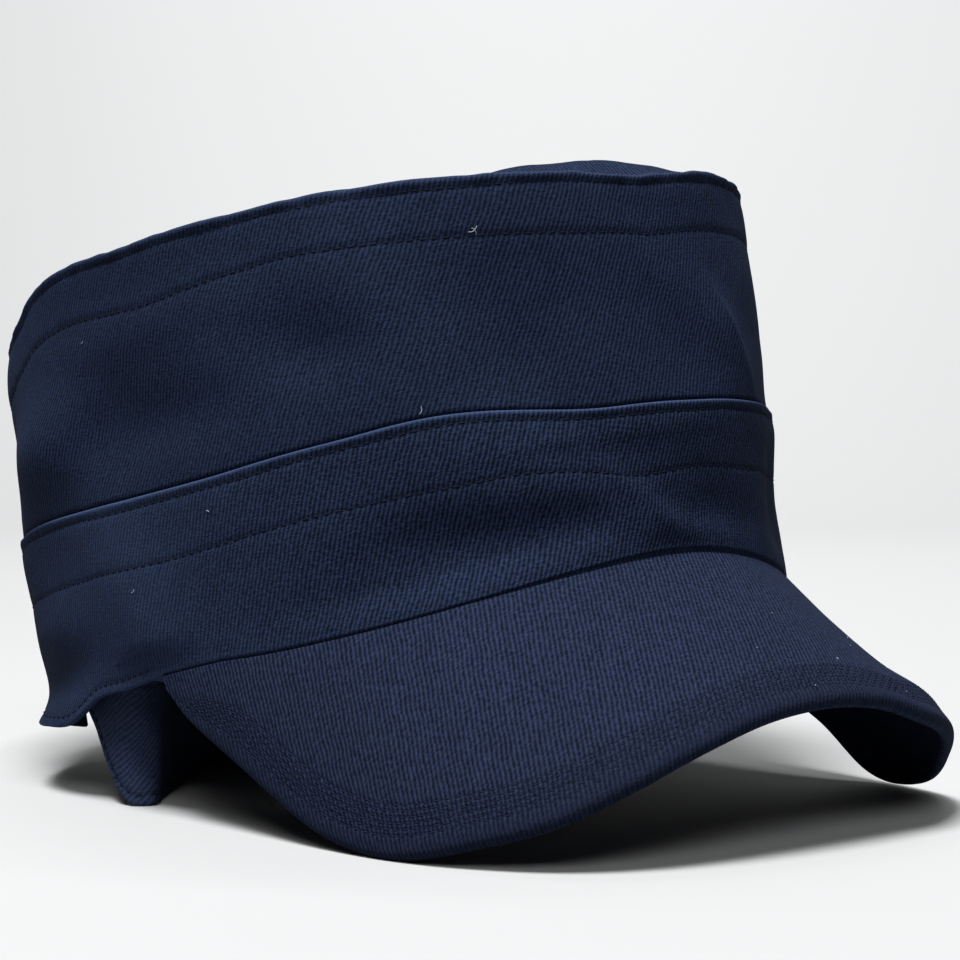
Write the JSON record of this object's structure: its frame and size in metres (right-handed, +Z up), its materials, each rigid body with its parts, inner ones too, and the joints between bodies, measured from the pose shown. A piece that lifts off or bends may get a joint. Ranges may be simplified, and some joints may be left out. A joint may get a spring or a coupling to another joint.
{
  "type": "castro cap",
  "caption": "Navy cotton twill castro cap with a tall round crown, a wide turned-up band and a drooping stitched peak, lying tilted back on its peak tips and back strap.",
  "frame": {"origin": "middle of the lying cap's bounding box, at the height of the table it rests on", "axes": "+Z up, the peak points to -Y, the back of the cap to +Y, the wearer's left to +X"},
  "size_m": [0.1677, 0.2445, 0.149],
  "materials": {
    "fabric_crown": "matte navy cotton twill",
    "fabric_band": "matte navy cotton twill",
    "fabric_peak": "matte navy cotton twill over board",
    "fabric_strap": "matte navy cotton twill, doubled"
  },
  "bodies": {
    "root": {"crown_wall": "fabric_crown", "top_panel": "fabric_crown", "band": "fabric_band", "peak": "fabric_peak", "back_strap": "fabric_strap"}
  },
  "joints": []
}
